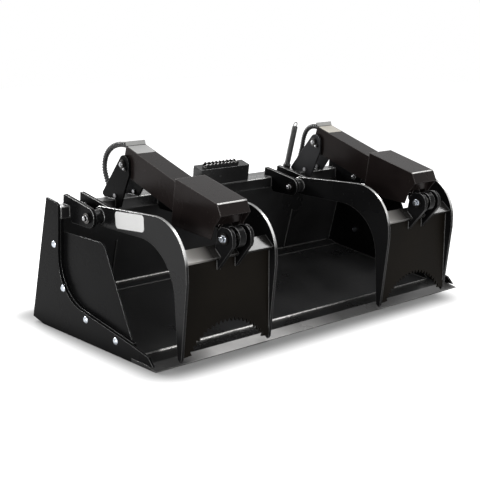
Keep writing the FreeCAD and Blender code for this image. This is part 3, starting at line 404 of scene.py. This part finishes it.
FOLD_HIGHLIGHT = metal("painted_fold_highlight", (0.6, 0.59, 0.58), 0.3, stain=0.2)
ZINC = metal("zinc", (0.6, 0.64, 0.7), 0.26)
PIN = metal("pin_steel", (0.07, 0.067, 0.064), 0.26)
SPRING = metal("spring_wire", (0.12, 0.12, 0.12), 0.38)
CHROME = metal("chrome_rod", (0.82, 0.82, 0.84), 0.1, stain=0.1)
IRON = metal("piston_iron", (0.3, 0.3, 0.31), 0.35)
RUBBER = plain("hose_rubber", (0.028, 0.028, 0.029), 0.55)
GUARD = plain("hose_guard", (0.03, 0.03, 0.031), 0.42, grain=90.0)
CARD = card("blank_label", (0.9, 0.9, 0.89))
CREAM = card("cream_label", (0.92, 0.87, 0.76))
TAB = card("tab_grey", (0.5, 0.5, 0.49))

SLOT_MATERIALS = {
    "black_paint": BLACK, "cover_paint": HOOD, "worn_blade": BLADE, "zinc_steel": ZINC,
    "pin_steel": PIN, "spring_steel": SPRING, "chromed_rod": CHROME, "piston_iron": IRON,
    "hose_rubber": RUBBER,
}
NODE_MATERIALS = {
    "bucket_shell": SHELL, "grapple_plate": GRIP, "grapple_arm_a": ARM, "grapple_arm_b": ARM,
    "clevis_ears": EAR, "rod_eye": EAR, "cross_bar": BAR, "top_lip": LIP, "tower_bolts": BOLT,
    "hinge_ears": HINGE_EAR, "side_panel": SIDE, "side_plate": SIDE, "side_filler": SIDE,
    "left_tower": SIDE, "right_tower": TOWER_LIT, "step_tread": TREAD,
}

for entry in frame["record"]["subparts"]:
    node = nodes[entry["node"]]
    look = SLOT_MATERIALS[entry["material_slot"]]
    for ending, special in NODE_MATERIALS.items():
        if entry["node"].endswith(ending):
            look = special
    for place in node.material_slots:
        place.material = look


# Meshes

def add_mesh(name, verts, faces, material, body, smooth=True):
    """A new piece that rides on a body, with the record's material slot."""
    mesh = bpy.data.meshes.new(name)
    mesh.from_pydata([tuple(v) for v in verts], [], faces)
    mesh.validate()
    mesh.update()
    if smooth:
        mesh.shade_smooth()
    mesh.materials.append(material)
    obj = bpy.data.objects.new(name, mesh)
    bpy.context.collection.objects.link(obj)
    if body:
        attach(obj, body)
    return obj


def frames_along(points):
    """For each point, two unit vectors square to the path, carried along without twist."""
    tangents = []
    for i in range(len(points)):
        ahead = points[min(i + 1, len(points) - 1)] - points[max(i - 1, 0)]
        tangents.append(ahead.normalized())
    side = tangents[0].orthogonal().normalized()
    result = []
    for tangent in tangents:
        side = (side - tangent * side.dot(tangent)).normalized()
        result.append((side, tangent.cross(side)))
    return result


def closed_skin(rows, sides):
    """Faces over rows of verts, with sides verts to a row, and a cap at each end."""
    faces = []
    for row in range(rows - 1):
        for k in range(sides):
            a, b = row * sides + k, row * sides + (k + 1) % sides
            faces.append((a, b, b + sides, a + sides))
    faces.append(tuple(range(sides))[::-1])
    faces.append(tuple((rows - 1) * sides + k for k in range(sides)))
    return faces


def tube(points, radius_at, sides=8):
    """Verts and faces of a closed tube; radius_at(i) is its radius at a point."""
    verts = []
    for i, (point, (across, up)) in enumerate(zip(points, frames_along(points))):
        for k in range(sides):
            turn = 2 * math.pi * k / sides
            verts.append(point + (across * math.cos(turn) + up * math.sin(turn)) * radius_at(i))
    return verts, closed_skin(len(points), sides)


def resample(corners, step):
    """Points every step along straight runs between corners."""
    points = [corners[0]]
    for start, end in zip(corners, corners[1:]):
        count = max(1, round((end - start).length / step))
        points += [start.lerp(end, (i + 1) / count) for i in range(count)]
    return points


def join_parts(parts):
    """Several (verts, faces) as one."""
    verts, faces = [], []
    for part_verts, part_faces in parts:
        shift = len(verts)
        verts += part_verts
        faces += [tuple(i + shift for i in face) for face in part_faces]
    return verts, faces


def bead(corners, radius, pitch=0.0065):
    """A weld run: overlapping scallops with small wobbles."""
    points = resample(corners, pitch / 3)
    phase = random.random() * 6
    wobble = [random.uniform(-0.12, 0.12) for _ in points]

    def radius_at(i):
        ends = min(1.0, 0.45 + 0.2 * min(i, len(points) - 1 - i))
        return radius * ends * (0.88 + 0.24 * math.sin(2 * math.pi * i / 3 + phase) + wobble[i])

    return tube(points, radius_at, 7)


def add_beads(name, runs, body, radius, material=BEAD):
    """One piece made of several weld runs."""
    verts, faces = join_parts([bead(run, radius) for run in runs])
    return add_mesh(name, verts, faces, material, body)


# Weld beads, their radii in metres

THIN, MIDDLE, THICK = 0.003, 0.0034, 0.0055
TOWER_SEAMS = ((-65, 500), (-55, 500), (55, LIP_TOP - 2), (65, LIP_TOP - 2))
TOWER_REAR = 728
STEP_TAPER = 10
STEP_REAR = 722
HUB_SEAM_R = 31
BAR_SEAM = ((-36, 407), (11, 446.5))
PLATE_SEAM = ((-11, 392), (-11, 60))
CLEVIS_EAR_FACES = (-54, -38, 38, 54)
EAR_ON_BAR = ((-35, 408), (-3, 435))
EAR_ON_PLATE = ((-13, 352), (-13, 392))


def back_y(z):
    """The y of the inner face of the back at a height."""
    return BACK_FOOT[0] - (z - BACK_FOOT[1]) * BACK_LEAN


def bucket_beads():
    """Seams across the bowl, round its end panels, and two upright ones on its back."""
    edge = PANEL_X - 3
    lip_seam = (back_y(LIP_FOOT - 2), LIP_FOOT - 1)
    for name, (y, z), radius, material in (
            ("bead_heel", (HEEL[0] + 1, HEEL[1]), 0.006, HEEL_BEAD),
            ("bead_fold", FLOOR_FOLD, THIN, BEAD),
            ("bead_floor_front", FLOOR_START, 0.0056, FRONT_BEAD),
            ("bead_lip_foot", lip_seam, THIN, BEAD)):
        add_beads(name, [[mm(-edge, y, z), mm(edge, y, z)]], "bucket", radius, material)
    seams, ribs = [], []
    for sign in SIDES.values():
        x = sign * PANEL_X
        seams.append([mm(x, *PANEL_START), mm(x, *FLOOR_FOLD), mm(x, HEEL[0], HEEL[1] - 1)])
        seams.append([mm(x, HEEL[0], HEEL[1] + 1), mm(x, back_y(PANEL_TOP - 2), PANEL_TOP - 2)])
        seams.append([mm(sign * LIP_SEAM_X, back_y(z), z) for z in (PANEL_TOP + 2, LIP_FOOT - 2)])
        ribs.append([mm(sign * RIB_X, back_y(z) - 1, z) for z in RIB_SPAN])
    add_beads("bead_panels", seams, "bucket", THIN)
    add_beads("bead_ribs", ribs, "bucket", THICK)


def ear_levels():
    """The x of both faces of every hinge ear."""
    levels = []
    for sign in SIDES.values():
        for arm_face in ARM_FACES:
            for shift in EARS_FROM_ARM:
                ear_x = sign * GRAPPLE_X + arm_face + shift
                levels.append((ear_x, ear_x + EAR_THICK))
    return levels


def ear_beads():
    """Seams of the hinge ears along the top and down the front of the lip."""
    runs = []
    for faces in ear_levels():
        for x in faces:
            runs.append([mm(x, EAR_REAR, LIP_TOP), mm(x, LIP_FRONT, LIP_TOP)])
            runs.append([mm(x, LIP_FRONT, LIP_TOP), mm(x, LIP_FRONT, LIP_FOOT)])
    add_beads("bead_ears", runs, "bucket", 0.0035)


def tower_beads():
    """Seams of the tower plates; those of the left plates reach down the lip's front."""
    runs = []
    for sign in SIDES.values():
        for shift, foot in TOWER_SEAMS:
            x = sign * GRAPPLE_X + shift
            runs.append([mm(x, LIP_FRONT, foot), mm(x, LIP_FRONT, LIP_TOP), mm(x, TOWER_REAR, LIP_TOP)])
    add_beads("bead_towers", runs, "bucket", THIN)


def step_beads():
    """Seams at the foot of the step: its front and both its ends."""
    low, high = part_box("step_box")
    left, right = low[0] * 1000 + STEP_TAPER, high[0] * 1000 - STEP_TAPER
    runs = [[mm(left, LIP_FRONT, LIP_TOP), mm(right, LIP_FRONT, LIP_TOP)]]
    runs += [[mm(x, LIP_FRONT, LIP_TOP), mm(x, STEP_REAR, LIP_TOP)] for x in (left, right)]
    add_beads("bead_step", runs, "bucket", THIN)


def circle_run(x, centre, radius, count=28):
    """A round seam square to x."""
    run = []
    for i in range(count + 1):
        turn = 2 * math.pi * i / count
        run.append(mm(x, centre[0] + radius * math.cos(turn), centre[1] + radius * math.sin(turn)))
    return run


def grapple_beads(side):
    """Seams round the hubs, then those of the bar, the front plate and the clevis ears."""
    body = side + "_grapple"
    middle = SIDES[side] * GRAPPLE_X
    hubs = []
    for arm_face in ARM_FACES:
        arm_x = middle + arm_face
        hubs += [circle_run(x, HINGE, HUB_SEAM_R) for x in (arm_x, arm_x + ARM_THICK)]
    add_beads(side + "_hub_beads", hubs, body, MIDDLE, HUB_BEAD)
    runs = []
    for sign in SIDES.values():
        x = middle + sign * ARM_FACES[1]
        runs += [[mm(x, *point) for point in seam] for seam in (BAR_SEAM, PLATE_SEAM)]
    for ear_x in CLEVIS_EAR_FACES:
        x = middle + ear_x
        runs += [[mm(x, *point) for point in seam] for seam in (EAR_ON_BAR, EAR_ON_PLATE)]
    add_beads(side + "_grapple_beads", runs, body, MIDDLE)


bucket_beads()
ear_beads()
tower_beads()
step_beads()
for side in SIDES:
    grapple_beads(side)


# Blank labels

LABEL_LIFT = 0.0006
CORNER_POINTS = 6
ARM_LABEL = ((403, 474), (212, 487), (213, 555), (409, 543))
HOOD_LABEL_HALF, HOOD_LABEL_TOP = 46, 75
HOOD_LABEL_SPAN = (-12, 62)
TAB_HALF, TAB_FOOT, TAB_CREST = 50, (-16, 76), (-26.5, 90)


def label(name, corners, body, material, round_share=0.08):
    """A thin blank plate with rounded corners, which go round it in order."""
    a, b, c, d = corners
    normal = (b - a).cross(d - a).normalized()
    radius = (b - a).length * round_share
    outline = []
    for here, before, after in ((a, d, b), (b, a, c), (c, b, d), (d, c, a)):
        back, ahead = (before - here).normalized(), (after - here).normalized()
        centre = here + (back + ahead) * radius
        for i in range(CORNER_POINTS):
            turn = math.pi / 2 * i / (CORNER_POINTS - 1)
            outline.append(centre - ahead * radius * math.cos(turn) - back * radius * math.sin(turn))
    count = len(outline)
    top = [p + normal * LABEL_LIFT for p in outline]
    verts = top + outline
    faces = [tuple(range(count))]
    faces += [(i, i + count, (i + 1) % count + count, (i + 1) % count) for i in range(count)]
    return add_mesh(name, verts, faces, material, body, smooth=False)


def arm_label():
    """The large label on the outer face of the left arm."""
    x = ARM_FACES[0] - GRAPPLE_X
    label("arm_label", [mm(x, y, z) for y, z in ARM_LABEL], "left_grapple", CARD)


def hood_label(side):
    """The label across the rear of the upper cover's top."""
    rear, front = HOOD_LABEL_SPAN
    corners = [cylinder_point(side, x, along, HOOD_LABEL_TOP) for x, along in (
        (-HOOD_LABEL_HALF, rear), (-HOOD_LABEL_HALF, front), (HOOD_LABEL_HALF, front),
        (HOOD_LABEL_HALF, rear))]
    label(side + "_hood_label", corners, side + "_barrel", CARD if side == "left" else CREAM)


def tab_face(side):
    """The light face of the tab that is turned up at the rear of the upper cover."""
    corners = [cylinder_point(side, x, *edge) for x, edge in (
        (-TAB_HALF, TAB_FOOT), (TAB_HALF, TAB_FOOT), (TAB_HALF, TAB_CREST), (-TAB_HALF, TAB_CREST))]
    label(side + "_tab_face", corners, side + "_barrel", TAB, round_share=0.01)


arm_label()
for side in SIDES:
    hood_label(side)
    tab_face(side)


# Bolts in the pins' heads, and a painted highlight along the folded nose of each lower cover

WASHER = 0.0022
HINGE_PIN_HEAD = 9
CLEVIS_PIN_END = 63
TOWER_PIN_END = 75
KEEPER_BOLT = (0.8, -20, -17)
NOSE_HALF = 73
NOSE = (622, 118)
NOSE_R = 0.0036


def ring_stack(centre, direction, sides, rings):
    """A closed stack of rings round a straight axis; a ring is its radius and its height."""
    across = direction.orthogonal().normalized()
    up = direction.cross(across)
    verts = []
    for radius, height in rings:
        for k in range(sides):
            turn = 2 * math.pi * k / sides
            spoke = across * math.cos(turn) + up * math.sin(turn)
            verts.append(centre + spoke * radius + direction * height)
    return verts, closed_skin(len(rings), sides)


def bolt_head(centre, radius, height, washer_r):
    """A chamfered hexagon head on a thin washer, standing out to the left from centre."""
    left = Vector((-1, 0, 0))
    washer = ring_stack(centre, left, 24, [(washer_r, 0.0), (washer_r, WASHER * 0.7),
                                           (washer_r * 0.93, WASHER)])
    head = ring_stack(centre, left, 6, [(radius, WASHER * 0.9), (radius, WASHER + height * 0.86),
                                        (radius * 0.84, WASHER + height)])
    return join_parts([washer, head])


def add_bolts(name, heads, material, body):
    """One piece made of several bolt heads."""
    verts, faces = join_parts(heads)
    add_mesh(name, verts, faces, material, body, smooth=False)


def pin_bolts():
    """One bolt to each pin's head, and a small one that keeps each tower pin from turning."""
    hinges = [mm(ear_x - HINGE_PIN_HEAD, *HINGE) for ear_x, _ in ear_levels()[::2]]
    add_bolts("hinge_bolt_heads", [bolt_head(place, 0.0095, 0.0115, 0.0125) for place in hinges],
              BOLT, "bucket")
    for side, sign in SIDES.items():
        clevis = mm(sign * GRAPPLE_X - CLEVIS_PIN_END, *CLEVIS_PIN)
        add_bolts(side + "_clevis_bolt_head", [bolt_head(clevis, 0.0114, 0.0124, 0.0145)], ZINC,
                  side + "_grapple")
        x = sign * GRAPPLE_X - TOWER_PIN_END
        y, z = TOWER_PIN
        out, back, up = KEEPER_BOLT
        add_bolts(side + "_tower_bolt_heads",
                  [bolt_head(mm(x, y, z), 0.0075, 0.004, 0.0105),
                   bolt_head(mm(x + out, y + back, z + up), 0.0045, 0.003, 0.0055)], BOLT, "bucket")


def nose_highlight(side):
    """A bright metal tube along the rolled fold at the nose of the lower cover: a painted highlight on
    the fold.
    """
    nose = [cylinder_point(side, x, *NOSE) for x in (-NOSE_HALF, NOSE_HALF)]
    verts, faces = tube(resample(nose, 0.02), lambda i: NOSE_R, 12)
    add_mesh(side + "_nose_highlight", verts, faces, FOLD_HIGHLIGHT, side + "_rod")


pin_bolts()
for side in SIDES:
    nose_highlight(side)


# Hose guide: a tight coil spring with an eye

GUIDE_FOOT = (490, 768, 548)
GUIDE_LENGTH = 0.222
GUIDE_R = 0.0145
WIRE_R = 0.0016
EYE_R = 0.0115
EYE_POINTS, EYE_FULL_TURN = 29, 32


def coil_points(foot, along, radius, pitch, length, per_turn=20):
    """Points along a coil round a straight line."""
    across = along.orthogonal().normalized()
    up = along.cross(across)
    count = int(length / pitch * per_turn)
    points = []
    for i in range(count + 1):
        turn = 2 * math.pi * i / per_turn
        spoke = across * math.cos(turn) + up * math.sin(turn)
        points.append(foot + spoke * radius + along * (pitch * i / per_turn))
    return points


def hose_guide():
    """The spring and its eye, in place of the plain sleeve of the CAD."""
    foot = mm(*GUIDE_FOOT)
    along = Vector((0, -BACK_LEAN, 1)).normalized()
    spring = coil_points(foot, along, GUIDE_R - WIRE_R, WIRE_R * 2.04, GUIDE_LENGTH)
    middle = foot + along * (GUIDE_LENGTH + EYE_R)
    eye = []
    for i in range(EYE_POINTS):
        turn = 2 * math.pi * (i / EYE_FULL_TURN) - math.pi / 2 + 0.35
        spoke = Vector((1, 0, 0)) * EYE_R * math.cos(turn) + along * EYE_R * math.sin(turn)
        eye.append(middle + spoke)
    parts = [tube(spring, lambda i: WIRE_R, 6), tube(eye, lambda i: WIRE_R * 1.3, 8)]
    verts, faces = join_parts(parts)
    guide = add_mesh("hose_spring", verts, faces, SPRING, "bucket")
    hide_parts("hose_guide")


hose_guide()


# Hoses, each with a spiral guard, between the barrel's port and the coupler hook

HOSE_RADIUS = 0.0095
HOSE_STEP = 0.004
GUARD_STEP = 0.001
GUARD_PITCH, GUARD_WIDTH, GUARD_THICK = 0.0125, 0.007, 0.0028
GUARD_SINK = 0.0002
GUARD_BARE_STEPS = 14
HOSE_ROUTES = {
    "left": [(575, 747), (632, 765.6), (699, 766), (761, 748), (808, 711), (827, 662), (817, 613),
             (790, 568)],
    "right": [(575, 747), (612, 759.1), (650, 765), (686, 756), (714, 731), (729, 692), (739, 636),
              (764, 568)],
}


def spline_points(points, resolution):
    """Points along the smooth curve that the route's corners steer."""
    data = bpy.data.curves.new("route", "CURVE")
    data.dimensions = "3D"
    data.resolution_u = resolution
    spline = data.splines.new("NURBS")
    spline.points.add(len(points) - 1)
    for place, point in zip(spline.points, points):
        place.co = (*point, 1)
    spline.order_u = 3
    spline.use_endpoint_u = True
    obj = bpy.data.objects.new("route", data)
    bpy.context.collection.objects.link(obj)
    bpy.context.view_layer.update()
    mesh = bpy.data.meshes.new_from_object(obj.evaluated_get(bpy.context.evaluated_depsgraph_get()))
    found = [v.co.copy() for v in mesh.vertices]
    bpy.data.objects.remove(obj)
    bpy.data.curves.remove(data)
    bpy.data.meshes.remove(mesh)
    return found


def even_points(points, step):
    """The same path with points an even step apart."""
    lengths = [0.0]
    for a, b in zip(points, points[1:]):
        lengths.append(lengths[-1] + (b - a).length)
    count = round(lengths[-1] / step)
    result, k = [], 0
    for i in range(count + 1):
        goal = lengths[-1] * i / count
        while k < len(points) - 2 and lengths[k + 1] < goal:
            k += 1
        span = lengths[k + 1] - lengths[k]
        result.append(points[k].lerp(points[k + 1], (goal - lengths[k]) / span))
    return result, lengths[-1]


def spiral_strip(points, radius, pitch, width, thick):
    """A flat strip with sloping edges, wound round a path."""
    section = ((radius, -width / 2), (radius + thick, -width / 3), (radius + thick, width / 3),
               (radius, width / 2))
    step = (points[1] - points[0]).length
    verts, faces = [], []
    for i, (point, (across, up)) in enumerate(zip(points, frames_along(points))):
        turn = 2 * math.pi * i * step / pitch
        spoke = across * math.cos(turn) + up * math.sin(turn)
        ahead = across.cross(up)
        verts += [point + spoke * reach + ahead * shift for reach, shift in section]
    for i in range(len(points) - 1):
        for k in range(4):
            a, b = 4 * i + k, 4 * i + (k + 1) % 4
            faces.append((a, a + 4, b + 4, b))
    faces.append((0, 1, 2, 3))
    last = 4 * (len(points) - 1)
    faces.append((last + 3, last + 2, last + 1, last))
    return verts, faces


def hose(side):
    """A hose with its guard, along the smooth curve from the barrel to the hook."""
    x = SIDES[side] * GRAPPLE_X
    route = [mm(x, y, z) for y, z in HOSE_ROUTES[side]]
    line, length = even_points(spline_points(route, 24), HOSE_STEP)
    verts, faces = tube(line, lambda i: HOSE_RADIUS, 20)
    body = add_mesh(side + "_hose_tube", verts, faces, RUBBER, None)
    fine, _ = even_points(line, GUARD_STEP)
    inner = fine[GUARD_BARE_STEPS:-GUARD_BARE_STEPS]
    verts, faces = spiral_strip(inner, HOSE_RADIUS - GUARD_SINK, GUARD_PITCH, GUARD_WIDTH, GUARD_THICK)
    guard = add_mesh(side + "_hose_guard", verts, faces, GUARD, None)
    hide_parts(side + "_hose")
    for piece in (body, guard):
        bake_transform(piece)


for side in SIDES:
    hose(side)


# Floor, light and camera

WHITE = (1, 1, 1, 1)
FLOOR_SIZE = 26.0
FLOOR_GREY = (0.5, 0.5, 0.5, 1)
WORLD_LEVEL = 0.2

# Each lamp's place, the point that it faces, its width and height, and its watts
LAMPS = {
    "bar_light": ((2.4, -0.8, 3.0), (2.4, -0.8, 0.0), (3.4, 0.6), 36),
    "back_light": ((-0.3, 3.7, 2.2), (0, -0.3, 0.0), (3.0, 1.2), 230),
    "left_light": ((-3.8, -1.2, 1.0), (0, 0, 0.4), (1.4, 1.0), 52),
    "front_light": ((0.4, -4.4, 1.1), (0, 0, 0.3), (2.0, 1.0), 44),
}

# The camera that was solved from the photograph's level and upright edges
CAMERA_PLACE = (-3027.5, -2893, 1315)
CAMERA_DOWN = 12.7
CAMERA_TURN = -41.2
CAMERA_LENS = 75.5
CAMERA_SENSOR = 36.0


def seen_rays(tree):
    """1 for what the camera sees itself, in gloss and through glass, 0 for other light."""
    rays = tree[0].new("ShaderNodeLightPath")
    seen = calculate(tree, "MAXIMUM", rays.outputs["Is Camera Ray"], rays.outputs["Is Glossy Ray"])
    return calculate(tree, "MAXIMUM", seen, rays.outputs["Is Transmission Ray"])


def glow_past_painted_shadow(tree):
    """0 under the bucket and along its front edge, rising to 1 a hand's width farther out; the dark
    band left near the bucket is a painted shadow.
    """
    low, high = cad_box
    place = surface_axes(tree, "Position")
    reach = []
    for axis, near, far in (("X", low[0] + 0.07, high[0] - 0.25), ("Y", BLADE_TIP_Y, high[1])):
        before = calculate(tree, "SUBTRACT", near, place[axis])
        after = calculate(tree, "SUBTRACT", place[axis], far)
        out = calculate(tree, "MAXIMUM", calculate(tree, "MAXIMUM", before, after), 0.0)
        reach.append(calculate(tree, "POWER", out, 2.0))
    distance = calculate(tree, "SQRT", calculate(tree, "ADD", *reach), 0.0)
    rise = remap(tree, distance, 0.03, 0.215, 0.0, 1.0)
    rise.node.interpolation_type = "SMOOTHSTEP"
    return rise


def white_floor():
    """A matt floor that keeps the real shadow, is seen white away from the object, and carries a
    painted shadow round it where its glow fades out.
    """
    half = FLOOR_SIZE / 2
    corners = [(-half, -half, 0), (half, -half, 0), (half, half, 0), (-half, half, 0)]
    mesh = bpy.data.meshes.new("floor")
    mesh.from_pydata(corners, [], [(0, 1, 2, 3)])
    material, found, links = new_material("floor_white")
    tree = (found, links)
    shader = found["Principled BSDF"]
    shader.inputs["Base Color"].default_value = FLOOR_GREY
    shader.inputs["Roughness"].default_value = 0.9
    shader.inputs["Specular IOR Level"].default_value = 0.1
    shader.inputs["Emission Color"].default_value = WHITE
    glow = calculate(tree, "MULTIPLY", glow_past_painted_shadow(tree), seen_rays(tree))
    links.new(glow, shader.inputs["Emission Strength"])
    mesh.materials.append(material)
    floor = bpy.data.objects.new("floor", mesh)
    bpy.context.collection.objects.link(floor)


def white_world():
    """Seen white, while it lights the object at a low level."""
    world = bpy.data.worlds.new("studio")
    bpy.context.scene.world = world
    world.use_nodes = True
    tree = (world.node_tree.nodes, world.node_tree.links)
    back = tree[0]["Background"]
    back.inputs["Color"].default_value = WHITE
    tree[1].new(remap(tree, seen_rays(tree), 0.0, 1.0, WORLD_LEVEL, 1.0), back.inputs["Strength"])


def lamp(name, place, target, size, power):
    """A flat light at place, turned to face target."""
    light = bpy.data.lights.new(name, "AREA")
    light.shape = "RECTANGLE"
    light.size, light.size_y = size
    light.energy = power
    obj = bpy.data.objects.new(name, light)
    obj.location = place
    direction = Vector(target) - Vector(place)
    obj.rotation_euler = direction.to_track_quat("-Z", "Y").to_euler()
    bpy.context.collection.objects.link(obj)


def camera():
    data = bpy.data.cameras.new("camera")
    data.sensor_width = CAMERA_SENSOR
    data.lens = CAMERA_LENS
    obj = bpy.data.objects.new("camera", data)
    obj.location = mm(*CAMERA_PLACE)
    obj.rotation_euler = (math.radians(90 - CAMERA_DOWN), 0, math.radians(CAMERA_TURN))
    bpy.context.collection.objects.link(obj)
    bpy.context.scene.camera = obj


white_floor()
white_world()
for name, settings in LAMPS.items():
    lamp(name, *settings)
camera()
bpy.context.scene.view_settings.view_transform = "Standard"
